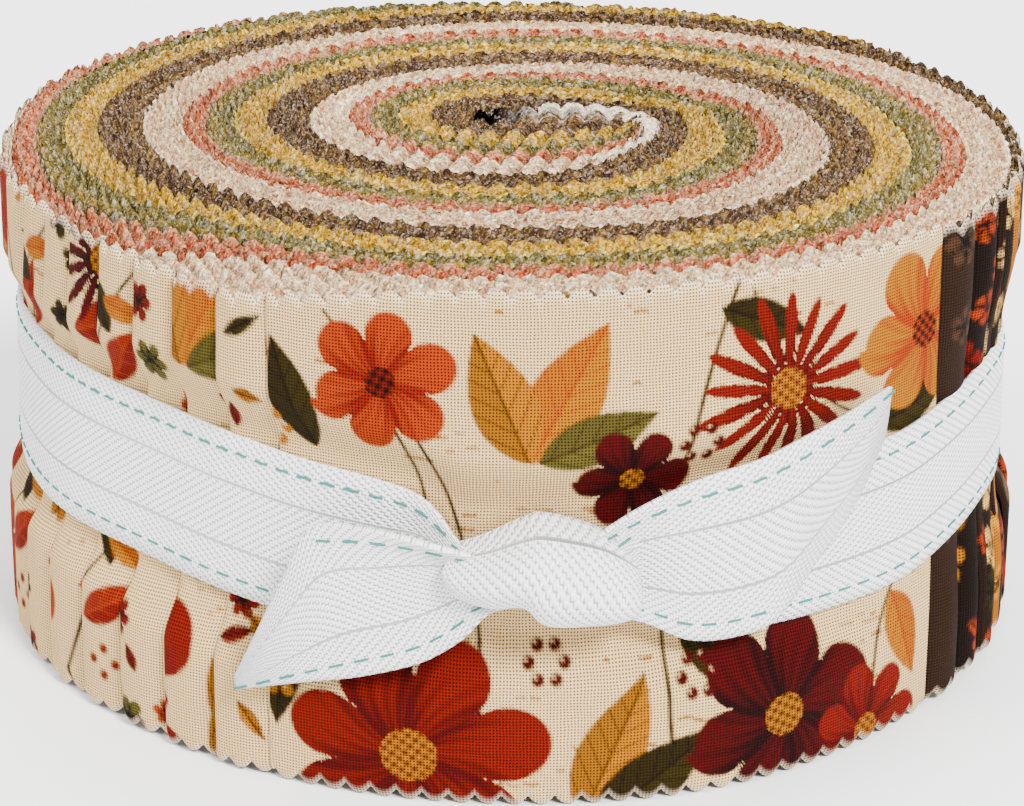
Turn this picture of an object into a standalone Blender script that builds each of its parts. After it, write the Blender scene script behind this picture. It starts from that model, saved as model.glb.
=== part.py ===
"""A roll of narrow quilting strips, standing on its end and tied round the middle with cotton tape.

Metres, +Z up. The front, where the tape is knotted, faces -Y. Angles run clockwise from the front,
seen from above, which is the way the stack of strips winds outward.
"""

import math

import bmesh
import bpy
from mathutils import Vector

MM = 0.001

# Driving dimensions of the roll, in millimetres.
STRIP_WIDTH = 63.5
EDGE_ROUND = 1.0
EYE_CENTRE = (-2.0, 6.5)
EYE_RADIUS = 2.4
EYE_FLOOR_RADIUS = 1.2
EYE_DEPTH = 9.0
CORE_INNER = 3.5
CORE_END = 17.0
STACK_THICKNESS = 22.4
TURNS = 4
STATION_STEP = 5.0
START_ANGLE = 270.0
TURN_GROOVE = 1.3
GROUP_GROOVE = 0.7
FOOT_GROOVE = 0.9
FOOT_FLAT = 0.07
RIM_SNAP = 0.9

# Outer face of the wound stack, measured from the eye of the roll.
# (clockwise angle from the front, radius)
STACK_FACE = [
    (0, 26.3),
    (30, 25.3),
    (60, 24.8),
    (90, 24.7),
    (120, 24.5),
    (150, 24.5),
    (180, 25.6),
    (210, 29.8),
    (240, 35.5),
    (270, 41.3),
    (300, 46.8),
    (330, 49.3),
    (360, 47.5),
    (390, 46.6),
    (420, 46.5),
    (450, 46.6),
    (480, 47.0),
    (510, 48.0),
    (540, 49.6),
    (570, 53.2),
    (600, 59.0),
    (630, 64.8),
    (660, 70.0),
    (690, 72.8),
    (720, 71.5),
]

# Borders between the colour groups, as shares of the stack from its inner face.
GROUP_BORDERS = [0.0, 0.24, 0.44, 0.62, 0.755]

# The wall of the roll, measured from the middle of the roll.
# (clockwise angle, radius at the foot, radius at the top)
WALL = [
    (0, 67.0, 65.8),
    (22.5, 66.5, 64.6),
    (45, 65.8, 61.0),
    (67.5, 66.8, 61.6),
    (90, 66.5, 66.2),
    (112.5, 66.0, 67.2),
    (135, 66.0, 68.4),
    (157.5, 66.0, 68.2),
    (180, 66.0, 66.8),
    (202.5, 66.0, 67.0),
    (225, 66.0, 66.8),
    (247.5, 66.0, 65.2),
    (270, 66.2, 65.0),
    (292.5, 66.0, 65.6),
    (315, 66.4, 65.2),
    (337.5, 67.6, 65.6),
]

# Where strips end on the wall: the first, the last, and how far apart they fall.
FIRST_END = 25.5
LAST_END = 302.0
END_SPACING = 7.1
END_STEP = 0.45
END_RUN = 0.7

# Rounded folds of the innermost strips on the right. (start, end, rise)
FOLDS = [
    (302.0, 309.5, 1.0),
    (296.3, 302.0, 0.8),
    (291.0, 296.0, 1.1),
    (287.0, 290.5, 0.9),
]

# Tape round the waist. (clockwise angle, lower edge, upper edge)
TAPE_EDGES = [
    (-13, 21.8, 36.4),
    (-9, 22.5, 36.2),
    (0, 23.0, 35.6),
    (5, 22.6, 35.6),
    (9.3, 21.4, 38.0),
    (15.6, 20.6, 39.5),
    (22, 20.8, 40.3),
    (30, 21.4, 41.2),
    (45, 22.3, 41.7),
    (60, 22.6, 42.0),
    (90, 23.4, 42.5),
    (180, 24.3, 43.4),
    (270, 23.6, 42.7),
    (295, 22.3, 41.3),
    (305, 20.8, 39.9),
    (314, 19.4, 38.6),
    (324, 18.7, 37.8),
    (340, 19.7, 37.6),
    (347, 21.8, 36.4),
]
TAPE_THICKNESS = 1.0
TAPE_GAP = 0.35
WAIST_DEPTH = 3.0
WAIST_DEPTH_LEFT = 1.8
WAIST_MARGIN = 0.8
WAIST_RAMP = 7.5
TAPE_STEP = 4.0
BAND_START = 3.0
BAND_END = 351.5
BAND_LIFT = 4.2
BAND_LIFT_RUN = 9.0
LOWER_GATHER = (5.4, 10.0)
UPPER_GATHER = (3.0, 5.0)

# The two free ends of the tape.
# (angle of upper edge, its height, angle of lower edge, its height, radius, how far its middle stands out)
LEFT_TAIL = [
    (2.0, 33.0, 0.5, 27.0, 70.0, 0.5),
    (5.9, 34.2, 2.6, 26.0, 70.6, -1.6),
    (10.0, 35.2, 4.8, 22.8, 70.2, -1.8),
    (14.5, 35.5, 8.5, 19.4, 69.2, -0.8),
    (19.6, 34.6, 14.8, 16.6, 68.6, 0.3),
    (22.6, 27.6, 19.8, 15.2, 68.8, 0.5),
    (25.4, 20.3, 24.0, 13.9, 69.2, 0.3),
    (27.9, 14.0, 27.7, 12.6, 69.6, 0.0),
]
RIGHT_TAIL = [
    (-7.0, 33.9, -7.0, 25.6, 68.4, -1.0),
    (-12.3, 37.6, -12.7, 23.4, 68.0, -0.9),
    (-18.3, 40.2, -17.5, 20.4, 67.6, 0.3),
    (-24.7, 41.6, -22.5, 19.9, 67.7, 0.6),
    (-29.1, 43.2, -27.0, 21.2, 67.9, 0.6),
    (-33.9, 45.1, -31.0, 27.4, 68.4, 0.5),
    (-37.0, 46.6, -35.2, 33.6, 68.9, 0.3),
    (-39.2, 47.6, -38.5, 41.5, 69.4, 0.1),
]
TAIL_ROWS = 8

# The knot: one broad turn of the tape, drawn in to a neck on the left and open to the right.
# (angle, middle height, half height, radius of its front)
KNOT_TURN = [
    (6.2, 31.0, 1.6, 69.8),
    (5.0, 30.5, 2.3, 71.2),
    (2.0, 30.7, 3.4, 72.8),
    (-1.2, 31.7, 4.2, 74.0),
    (-3.2, 30.8, 5.6, 74.4),
    (-7.6, 29.9, 5.0, 74.0),
    (-10.2, 28.9, 3.9, 73.0),
    (-11.6, 28.1, 2.9, 71.2),
]
KNOT_BACK = 66.8
KNOT_SIDES = 20
KNOT_SQUARE = 0.8


def clear_scene():
    for old in list(bpy.data.objects):
        bpy.data.objects.remove(old, do_unlink=True)


def new_collection(name):
    made = bpy.data.collections.new(name)
    bpy.context.scene.collection.children.link(made)
    return made


def material(name, colour, roughness):
    made = bpy.data.materials.new(name)
    made.use_nodes = True
    shader = made.node_tree.nodes["Principled BSDF"]
    shader.inputs["Base Color"].default_value = (*colour, 1.0)
    shader.inputs["Roughness"].default_value = roughness
    return made


def eased(share):
    share = min(max(share, 0.0), 1.0)
    return share * share * (3.0 - 2.0 * share)


def table_at(rows, angle, column):
    """Smooth reading of a table by its first column, held at the ends."""
    if angle <= rows[0][0]:
        return rows[0][column]
    for number in range(len(rows) - 1):
        low, high = rows[number], rows[number + 1]
        if angle <= high[0]:
            before = rows[max(number - 1, 0)][column]
            after = rows[min(number + 2, len(rows) - 1)][column]
            share = (angle - low[0]) / (high[0] - low[0])
            start, end = low[column], high[column]
            bend = 2 * before - 5 * start + 4 * end - after
            twist = 3 * start - before - 3 * end + after
            return start + 0.5 * share * (end - before + share * (bend + share * twist))
    return rows[-1][column]


def ring_at(rows, angle, column):
    """The same reading for a table that closes on itself after a full turn."""
    first = rows[0]
    closed = rows + [(first[0] + 360.0, *first[1:])]
    low_end = rows[-1]
    padded = [(low_end[0] - 360.0, *low_end[1:])] + closed + [(rows[1][0] + 360.0, *rows[1][1:])]
    return table_at(padded, angle % 360.0, column)


def place(angle, radius, height):
    """A point by its clockwise angle from the front, its radius and its height."""
    turned = math.radians(angle)
    return Vector((-radius * math.sin(turned), -radius * math.cos(turned), height)) * MM


def tape_edges(angle):
    angle = angle % 360.0
    if angle > 347.0:
        angle -= 360.0
    return table_at(TAPE_EDGES, angle, 1), table_at(TAPE_EDGES, angle, 2)


def fold_rise(angle):
    for start, end, rise in FOLDS:
        if start <= angle <= end:
            return rise * math.sqrt(math.sin(math.pi * (angle - start) / (end - start)))
    return 0.0


def strip_end_step(angle):
    """The staggered strip ends leave a low saw-tooth round most of the wall."""
    if angle < FIRST_END or angle > LAST_END:
        return 0.0
    along = ((angle - FIRST_END) % END_SPACING) / END_SPACING
    return -END_STEP * (1.0 - along)


def waist_share(angle, height):
    """One under the tape, falling to nothing away from its two edges."""
    lower, upper = tape_edges(angle)
    outside = max(lower - WAIST_MARGIN - height, height - upper - WAIST_MARGIN, 0.0)
    return 1.0 - eased(outside / WAIST_RAMP)


def waist_depth(angle):
    """The tape sinks in less on the left, where the strip ends lie thickest."""
    on_left = eased((angle % 360.0 - 40.0) / 25.0) * eased((150.0 - angle % 360.0) / 25.0)
    return WAIST_DEPTH + (WAIST_DEPTH_LEFT - WAIST_DEPTH) * on_left


def smooth_wall(angle, height):
    share = eased(height / STRIP_WIDTH) ** 1.4
    foot = ring_at(WALL, angle, 1)
    top = ring_at(WALL, angle, 2)
    return foot + (top - foot) * share


def wall_radius(angle, height):
    waist = waist_share(angle, height)
    relief = (fold_rise(angle % 360.0) + strip_end_step(angle % 360.0)) * (1.0 - waist)
    return smooth_wall(angle, height) + relief - waist_depth(angle) * waist


def end_distance(angle):
    """From the eye to the straight end of the stack at the core, which lies square to the front."""
    return CORE_END / max(abs(math.sin(math.radians(angle))), 0.02)


def flat_distance(angle, depth):
    """From the eye to a layer of the straight stretch at the core."""
    return min(depth / max(abs(math.cos(math.radians(angle))), 0.02), end_distance(angle))


def stack_face(angle):
    """Outer face of the stack from the eye, from the core end through the outermost turn."""
    if angle < 0.0:
        return flat_distance(angle, STACK_FACE[0][1])
    if angle <= STACK_FACE[-1][0]:
        return table_at(STACK_FACE, angle, 1)
    return stack_face(angle - 360.0) + STACK_THICKNESS


def inner_face(angle):
    """Inner face of the stack: the turn before it, or the fold round the eye."""
    if angle >= 270.0:
        return stack_face(angle - 360.0)
    if 0.0 <= angle <= 180.0:
        return CORE_INNER
    return flat_distance(angle, CORE_INNER)


def layer_radius(angle, share):
    if angle < 0.0:
        return flat_distance(angle, CORE_INNER + (STACK_FACE[0][1] - CORE_INNER) * share)
    inner = inner_face(angle)
    return inner + (stack_face(angle) - inner) * share


def stations():
    """Angles round the wall: even ones, and a close pair where a strip or fold ends."""
    angles = set()
    count = round(360.0 / STATION_STEP)
    for number in range(count):
        angles.add(round(number * STATION_STEP, 3))
    marks = [FIRST_END + number * END_SPACING for number in range(8)]
    for start, end, _rise in FOLDS:
        middle = (start + end) / 2
        angles.update((round(middle, 3), round((start + middle) / 2, 3), round((end + middle) / 2, 3)))
        marks.extend((start, end))
    for mark in marks:
        angles = {angle for angle in angles if abs(angle - mark) > END_RUN}
    for mark in marks:
        angles.add(round(mark - END_RUN / 2, 3))
        angles.add(round(mark + END_RUN / 2, 3))
    ordered = sorted(angles)
    kept = [ordered[0]]
    for angle in ordered[1:]:
        if angle - kept[-1] > 0.3:
            kept.append(angle)
    return [angle for angle in kept if angle >= START_ANGLE] + [angle + 360.0 for angle in kept if angle < START_ANGLE]


def rim_rays(angles, height, inset):
    """For each station: the ray angle from the eye, the rim's distance and its point."""
    eye = Vector((EYE_CENTRE[0], EYE_CENTRE[1], 0.0))
    rays = []
    for angle in angles:
        point = place(angle, wall_radius(angle, height) - inset, 0.0) / MM
        away = point - eye
        turned = math.degrees(math.atan2(-away.x, -away.y)) % 360.0
        rays.append([turned, away.length])
    base = rays[0][0] - 360.0
    for ray in rays:
        ray[0] = base + (ray[0] - rays[0][0]) % 360.0
    return rays


def spiral_face(mesh, angles, rays, level, lines, eye_ring, rim_ring):
    """Fill between the eye and the rim with lines that follow the wound stack.

    Each line is a share of the stack and a height; where it runs out past the rim it joins the rim.
    """
    count = len(angles)
    made = {}

    def vertex(station, turn, line):
        if station == count:
            station = 0
            turn += 1
        key = (station, turn, line)
        if key not in made:
            share, height = lines[line]
            ray, rim = rays[station]
            distance = layer_radius(ray + 360.0 * turn, share)
            if distance > rim - RIM_SNAP:
                made[key] = rim_ring[station]
            else:
                turned = math.radians(ray)
                x = EYE_CENTRE[0] - distance * math.sin(turned)
                y = EYE_CENTRE[1] - distance * math.cos(turned)
                at_end = turn == 0 and ray < 0.0 and distance > end_distance(ray) - 0.01
                z = level if at_end else height
                made[key] = mesh.verts.new(Vector((x, y, z)) * MM)
        return made[key]

    def face(corners):
        distinct = []
        for corner in corners:
            if corner not in distinct:
                distinct.append(corner)
        if len(distinct) > 2 and mesh.faces.get(distinct) is None:
            mesh.faces.new(distinct)

    total = len(lines) * TURNS
    for station in range(count):
        after = (station + 1) % count
        corners = [eye_ring[station], eye_ring[after]]
        if station == count - 1:
            corners += [vertex(0, 0, 0), vertex(count, 0, 0), vertex(station, 0, 0)]
        else:
            corners += [vertex(station + 1, 0, 0), vertex(station, 0, 0)]
        face(corners)
        for number in range(total):
            turn, line = divmod(number, len(lines))
            next_turn, next_line = divmod(number + 1, len(lines))
            face([
                vertex(station, turn, line),
                vertex(station + 1, turn, line),
                vertex(station + 1, next_turn, next_line),
                vertex(station, next_turn, next_line),
            ])


def ring(mesh, angles, height_at, inset):
    points = []
    for angle in angles:
        height = height_at(angle)
        points.append(mesh.verts.new(place(angle, wall_radius(angle, height) - inset, height)))
    return points


def join_rings(mesh, lower, upper):
    count = len(lower)
    for number in range(count):
        after = (number + 1) % count
        mesh.faces.new((lower[number], lower[after], upper[after], upper[number]))


def eye_circle(mesh, rays, radius, height):
    points = []
    for ray, _rim in rays:
        turned = math.radians(ray)
        x = EYE_CENTRE[0] - radius * math.sin(turned)
        y = EYE_CENTRE[1] - radius * math.cos(turned)
        points.append(mesh.verts.new(Vector((x, y, height)) * MM))
    return points


def wound_roll():
    mesh = bmesh.new()
    angles = stations()
    heights = [
        lambda angle: EDGE_ROUND,
        lambda angle: tape_edges(angle)[0] - WAIST_MARGIN - WAIST_RAMP,
        lambda angle: tape_edges(angle)[0] - WAIST_MARGIN - WAIST_RAMP / 2,
        lambda angle: tape_edges(angle)[0] - WAIST_MARGIN,
        lambda angle: tape_edges(angle)[1] + WAIST_MARGIN,
        lambda angle: tape_edges(angle)[1] + WAIST_MARGIN + WAIST_RAMP / 2,
        lambda angle: tape_edges(angle)[1] + WAIST_MARGIN + WAIST_RAMP,
        lambda angle: STRIP_WIDTH - EDGE_ROUND * 5,
        lambda angle: STRIP_WIDTH - EDGE_ROUND,
    ]
    rings = [ring(mesh, angles, lambda angle: 0.0, EDGE_ROUND)]
    for height_at in heights:
        rings.append(ring(mesh, angles, height_at, 0.0))
    rings.append(ring(mesh, angles, lambda angle: STRIP_WIDTH, EDGE_ROUND))
    for lower, upper in zip(rings, rings[1:]):
        join_rings(mesh, lower, upper)

    top_lines = []
    borders = GROUP_BORDERS + [1.0]
    for number, share in enumerate(GROUP_BORDERS):
        depth = TURN_GROOVE if number == 0 else GROUP_GROOVE
        top_lines.append((share, STRIP_WIDTH - depth))
        top_lines.append(((share + borders[number + 1]) / 2, STRIP_WIDTH))
    rays = rim_rays(angles, STRIP_WIDTH, EDGE_ROUND)
    eye_top = eye_circle(mesh, rays, EYE_RADIUS, STRIP_WIDTH)
    spiral_face(mesh, angles, rays, STRIP_WIDTH, top_lines, eye_top, rings[-1])
    eye_floor = eye_circle(mesh, rays, EYE_FLOOR_RADIUS, STRIP_WIDTH - EYE_DEPTH)
    join_rings(mesh, eye_top, eye_floor)
    mesh.faces.new(eye_floor)

    foot_lines = [(0.0, FOOT_GROOVE), (FOOT_FLAT, 0.0), (1.0 - FOOT_FLAT, 0.0)]
    rays = rim_rays(angles, 0.0, EDGE_ROUND)
    foot_eye = eye_circle(mesh, rays, EYE_RADIUS, 0.0)
    spiral_face(mesh, angles, rays, 0.0, foot_lines, foot_eye, rings[0])
    mesh.faces.new(foot_eye)
    return mesh


def catmull_rows(rows, count):
    """Even readings along a table of tail stations."""
    numbered = [(number, *row) for number, row in enumerate(rows)]
    last = len(rows) - 1
    readings = []
    for number in range(count + 1):
        along = last * number / count
        readings.append([table_at(numbered, along, column) for column in range(1, len(rows[0]) + 1)])
    return readings


def tail_sheet(rows):
    """A free end of the tape as an open sheet, cupped a little across its width."""
    mesh = bmesh.new()
    grid = []
    for upper_angle, upper_height, lower_angle, lower_height, radius, middle_out in catmull_rows(rows, 14):
        row = []
        for number in range(TAIL_ROWS + 1):
            share = number / TAIL_ROWS
            angle = upper_angle + (lower_angle - upper_angle) * share
            height = upper_height + (lower_height - upper_height) * share
            cup = middle_out * (1.0 - 4.0 * (share - 0.5) ** 2)
            row.append(mesh.verts.new(place(angle, radius + cup, height)))
        grid.append(row)
    for first, second in zip(grid, grid[1:]):
        for number in range(TAIL_ROWS):
            mesh.faces.new((first[number], first[number + 1], second[number + 1], second[number]))
    return mesh


def band_sheet():
    """The tape round the waist, lifting off the roll where its two ends go into the knot."""
    mesh = bmesh.new()
    count = round((BAND_END - BAND_START) / TAPE_STEP)
    grid = []
    for number in range(count + 1):
        angle = BAND_START + (BAND_END - BAND_START) * number / count
        lower, upper = tape_edges(angle)
        from_end = min(angle - BAND_START, BAND_END - angle)
        lower += LOWER_GATHER[0] * eased(1.0 - from_end / LOWER_GATHER[1])
        upper -= UPPER_GATHER[0] * eased(1.0 - from_end / UPPER_GATHER[1])
        middle = (lower + upper) / 2
        foot, waist, head = (wall_radius(angle, height) for height in (lower, middle, upper))
        bulge = max(waist - (foot + head) / 2, 0.0)
        clear = TAPE_GAP + TAPE_THICKNESS / 2 + BAND_LIFT * eased(1.0 - from_end / BAND_LIFT_RUN) + bulge
        rows = ((foot, lower), ((foot + head) / 2, middle), (head, upper))
        grid.append([mesh.verts.new(place(angle, radius + clear, height)) for radius, height in rows])
    for first, second in zip(grid, grid[1:]):
        for row in range(2):
            mesh.faces.new((first[row], first[row + 1], second[row + 1], second[row]))
    return mesh


def knot_turn():
    """The knot as a closed loft of flattened rings from its neck to its open side."""
    mesh = bmesh.new()
    rings = []
    for angle, middle, half, front in catmull_rows(KNOT_TURN, 16):
        centre, depth = (front + KNOT_BACK) / 2, (front - KNOT_BACK) / 2
        section = []
        for side in range(KNOT_SIDES):
            turned = 2 * math.pi * side / KNOT_SIDES
            up, out = (math.copysign(abs(value) ** KNOT_SQUARE, value) for value in (math.sin(turned), math.cos(turned)))
            section.append(mesh.verts.new(place(angle, centre + depth * out, middle + half * up)))
        rings.append(section)
    for first, second in zip(rings, rings[1:]):
        join_rings(mesh, first, second)
    mesh.faces.new(rings[0])
    mesh.faces.new(rings[-1])
    return mesh


def finished(name, mesh, slot, collection):
    bmesh.ops.remove_doubles(mesh, verts=mesh.verts, dist=0.00001)
    bmesh.ops.recalc_face_normals(mesh, faces=mesh.faces)
    data = bpy.data.meshes.new(name)
    mesh.to_mesh(data)
    mesh.free()
    made = bpy.data.objects.new(name, data)
    if slot is not None:
        data.materials.append(slot)
    collection.objects.link(made)
    return made


def thicken(sheet, thickness):
    modifier = sheet.modifiers.new("thickness", "SOLIDIFY")
    modifier.thickness = thickness * MM
    modifier.offset = 0.0
    modifier.use_even_offset = True


def add_to(target, extra):
    modifier = target.modifiers.new("with_" + extra.name, "BOOLEAN")
    modifier.operation = "UNION"
    modifier.solver = "EXACT"
    modifier.object = extra
    extra.hide_render = True
    extra.display_type = "WIRE"


def main():
    clear_scene()
    parts = new_collection("fabric_strip_roll")
    helpers = new_collection("helpers")
    helpers.hide_render = True

    cotton = material("strip_cotton", (0.76, 0.63, 0.49), 0.85)
    tape = material("tie_tape", (0.86, 0.87, 0.86), 0.8)

    finished("strip_roll", wound_roll(), cotton, parts)

    tie = finished("tie_tape", band_sheet(), tape, parts)
    thicken(tie, TAPE_THICKNESS)
    left = finished("left_tail", tail_sheet(LEFT_TAIL), tape, helpers)
    thicken(left, TAPE_THICKNESS)
    right = finished("right_tail", tail_sheet(RIGHT_TAIL), tape, helpers)
    thicken(right, TAPE_THICKNESS)
    knot = finished("knot_turn", knot_turn(), tape, helpers)
    for extra in (knot, left, right):
        add_to(tie, extra)


main()
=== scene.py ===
import math
from functools import partial

import bmesh
import bpy
import numpy as np
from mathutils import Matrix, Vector


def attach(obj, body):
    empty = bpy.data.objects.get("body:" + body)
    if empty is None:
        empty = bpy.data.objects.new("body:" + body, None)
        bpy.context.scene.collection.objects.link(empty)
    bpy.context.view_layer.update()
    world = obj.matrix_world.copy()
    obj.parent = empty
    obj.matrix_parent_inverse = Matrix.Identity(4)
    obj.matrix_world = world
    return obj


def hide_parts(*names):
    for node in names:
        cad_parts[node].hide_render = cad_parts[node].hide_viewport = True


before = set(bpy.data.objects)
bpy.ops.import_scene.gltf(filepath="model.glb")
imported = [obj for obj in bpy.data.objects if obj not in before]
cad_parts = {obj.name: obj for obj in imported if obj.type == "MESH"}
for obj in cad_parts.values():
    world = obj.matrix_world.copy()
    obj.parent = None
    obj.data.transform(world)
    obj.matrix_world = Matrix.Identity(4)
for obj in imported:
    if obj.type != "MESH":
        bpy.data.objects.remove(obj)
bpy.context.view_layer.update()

MM = 0.001
into_scene = bpy.context.scene.collection.objects.link


# The camera stands close in front of the roll and looks down on it. The roll stands on a pale
# floor, lit by one large window at the right and two dimmer ones.

camera_data = bpy.data.cameras.new("camera")
camera_data.lens = 107.75
camera_data.sensor_width = 36.0
camera_data.clip_start = 0.01
camera = bpy.data.objects.new("camera", camera_data)
camera.location = (0.0, -0.385, 0.1752)
camera.rotation_euler = (math.radians(90.0 - 21.38), 0.0, 0.0)
into_scene(camera)
bpy.context.scene.camera = camera

world = bpy.data.worlds.new("studio")
world.use_nodes = True
world.node_tree.nodes["Background"].inputs["Color"].default_value = (1.0, 1.0, 1.0, 1.0)
world.node_tree.nodes["Background"].inputs["Strength"].default_value = 1.15
bpy.context.scene.world = world

# (name, round from the front, height above the floor, softness, strength)
for name, around, above, softness, strength in [
    ("window_right", 32.0, 42.0, 16.0, 8.6),
    ("window_left", -62.0, 50.0, 30.0, 2.6),
    ("window_back", 170.0, 58.0, 30.0, 2.2),
]:
    light = bpy.data.lights.new(name, "SUN")
    light.angle = math.radians(softness)
    light.energy = strength
    lamp = bpy.data.objects.new(name, light)
    flat, side = math.cos(math.radians(above)), math.radians(around)
    toward = Vector((flat * math.sin(side), -flat * math.cos(side), math.sin(math.radians(above))))
    lamp.location = toward
    lamp.rotation_euler = toward.to_track_quat("Z", "Y").to_euler()
    into_scene(lamp)

FLOOR_REACH, FLOOR_LEVEL = 3.0, -0.0002


def plain_paint(name, colour, roughness):
    """A material of one colour."""
    paint = bpy.data.materials.new(name)
    paint.use_nodes = True
    shader = paint.node_tree.nodes["Principled BSDF"]
    shader.inputs["Base Color"].default_value = (*colour, 1.0)
    shader.inputs["Roughness"].default_value = roughness
    return paint


floor_corners = [(-1, -1), (1, -1), (1, 1), (-1, 1)]
floor_mesh = bpy.data.meshes.new("floor")
floor_mesh.from_pydata(
    [(x * FLOOR_REACH, y * FLOOR_REACH, FLOOR_LEVEL) for x, y in floor_corners], [], [(0, 1, 2, 3)]
)
floor = bpy.data.objects.new("floor", floor_mesh)
floor_mesh.materials.append(plain_paint("floor_paint", (0.93, 0.93, 0.93), 0.9))
into_scene(floor)


# The outer wall of the roll is the faces of its outermost cotton strips. One printed strip covers
# the front; beyond its end the strips below it end one after another, each a cloth's thickness in.
# They are quilting cotton, plain woven at about 26 threads to the centimetre, with pinked edges.

STRIP_WIDTH = 63.5
TOOTH_PITCH = 3.1
TOOTH_DEPTH = 1.15
THREAD = 0.385
# the mean radius of the wall, and of the stepped strips, for lengths along them
WALL_RADIUS = 66.0
# how far the cloth rolls in at its cut edges
EDGE_ROLL = 0.5

# (clockwise angle from the front, radius at the foot, radius at the top)
WALL = [
    (0, 67.0, 65.8), (22.5, 66.5, 64.6), (45, 65.8, 61.0), (67.5, 66.8, 61.6), (90, 66.5, 66.2),
    (112.5, 66.0, 67.2), (135, 66.0, 68.4), (157.5, 66.0, 68.2), (180, 66.0, 66.8),
    (202.5, 66.0, 67.0), (225, 66.0, 66.8), (247.5, 66.0, 65.2), (270, 66.2, 65.0),
    (292.5, 66.0, 65.6), (315, 66.4, 65.2), (337.5, 67.6, 65.6),
]
# (clockwise angle, lower edge, upper edge)
TAPE_EDGES = [
    (-13, 21.8, 36.4), (-9, 22.5, 36.2), (0, 23.0, 35.6), (5, 22.6, 35.6), (9.3, 21.4, 38.0),
    (15.6, 20.6, 39.5), (22, 20.8, 40.3), (30, 21.4, 41.2), (45, 22.3, 41.7), (60, 22.6, 42.0),
    (90, 23.4, 42.5), (180, 24.3, 43.4), (270, 23.6, 42.7), (295, 22.3, 41.3), (305, 20.8, 39.9),
    (314, 19.4, 38.6), (324, 18.7, 37.8), (340, 19.7, 37.6), (347, 21.8, 36.4),
]
TAPE_FIRST, TAPE_LAST = -13, 347
TAPE_MARGIN = 0.8
# how the tape draws the wall in to a waist: (everywhere, more by the folds, more on the left)
WAIST_RAMP = (7.5, 5.0, -2.5)
WAIST_DEPTH = (3.0, -1.6, -1.2)
# clockwise angles of the front strip's two ends, and from each strip end to the next
FRONT_START, FIRST_END = -50.4, 25.5
END_SPACING = 7.1


def dense(rows, column, start, stop, around=False):
    """A smooth curve through a table's readings, one sample to each half degree."""
    rows = [(row[0], row[column]) for row in rows]
    if around:
        rows = [(a - 360.0, v) for a, v in rows[-3:]] + rows + [(a + 360.0, v) for a, v in rows[:3]]
    samples = np.arange(start, stop + 0.25, 0.5)
    values = []
    for angle in samples:
        number = max(i for i in range(len(rows) - 1) if rows[i][0] <= angle or i == 0)
        low, high = rows[number], rows[number + 1]
        before = rows[max(number - 1, 0)][1]
        after = rows[min(number + 2, len(rows) - 1)][1]
        t = min(max((angle - low[0]) / (high[0] - low[0]), 0.0), 1.0)
        bend = 2 * before - 5 * low[1] + 4 * high[1] - after
        twist = 3 * low[1] - before - 3 * high[1] + after
        values.append(low[1] + 0.5 * t * (high[1] - before + t * (bend + t * twist)))
    return samples, np.array(values)


def stations(rows, columns):
    """Even shares from a table's first row to its last, and its columns read there."""
    numbered = [(number * 10.0, *row) for number, row in enumerate(rows)]
    stop = 10.0 * (len(rows) - 1)
    at = np.linspace(0.0, stop, columns)
    read = [np.interp(at, *dense(numbered, column, 0, stop)) for column in range(1, len(numbered[0]))]
    return at / stop, read


FOOT_RADIUS = dense(WALL, 1, 0, 360, around=True)
TOP_RADIUS = dense(WALL, 2, 0, 360, around=True)
TAPE_LOW = dense(TAPE_EDGES, 1, TAPE_FIRST, TAPE_LAST)
TAPE_HIGH = dense(TAPE_EDGES, 2, TAPE_FIRST, TAPE_LAST)


def tape_edge(curve, angle):
    """Height of one edge of the tape round the roll."""
    angle = np.mod(angle, 360.0)
    return np.interp(np.where(angle > TAPE_LAST, angle - 360.0, angle), *curve)


def unit(share):
    return np.clip(share, 0.0, 1.0)


def eased(share):
    """A share from nothing to one, with a soft start and a soft end."""
    share = unit(share)
    return share * share * (3.0 - 2.0 * share)


def by_the_folds(angle):
    """One where the folded ends stand, at the right of the front, and nothing elsewhere."""
    turned = np.mod(angle + 180.0, 360.0) - 180.0
    return eased((-turned - 34.0) / 14.0) * eased((84.0 + turned) / 12.0)


def on_the_left(angle):
    """One at the left, where the strip ends lie thickest and the tape sinks in less."""
    turned = np.mod(angle, 360.0)
    return eased((turned - 40.0) / 25.0) * eased((150.0 - turned) / 25.0)


def waist(measure, angle):
    """One measure of the waist at an angle, from its three shares."""
    everywhere, folds, left = measure
    return everywhere + folds * by_the_folds(angle) + left * on_the_left(angle)


def under_tape(angle, height):
    """One under the tape, falling to nothing away from its two edges."""
    below = tape_edge(TAPE_LOW, angle) - TAPE_MARGIN - height
    above = height - tape_edge(TAPE_HIGH, angle) - TAPE_MARGIN
    return 1.0 - eased(np.maximum(np.maximum(below, above), 0.0) / waist(WAIST_RAMP, angle))


def wall_radius(angle, height):
    """The wall without its steps, drawn in to a waist by the tape."""
    turned = np.mod(angle, 360.0)
    foot = np.interp(turned, *FOOT_RADIUS)
    top = np.interp(turned, *TOP_RADIUS)
    share = eased(height / STRIP_WIDTH) ** 1.4
    return foot + (top - foot) * share - waist(WAIST_DEPTH, angle) * under_tape(angle, height)


def place(angle, radius, height):
    """Points from clockwise angle, radius and height, in millimetres, as metres."""
    turned = np.radians(angle)
    return np.stack([-radius * np.sin(turned), -radius * np.cos(turned), height + 0.0 * radius], axis=-1) * MM


def tooth(along):
    """Depth of the pinked edge below its tips: round teeth with sharp notches."""
    return TOOTH_DEPTH * np.abs(2.0 * np.mod(along / TOOTH_PITCH, 1.0) - 1.0) ** 2.0


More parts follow.
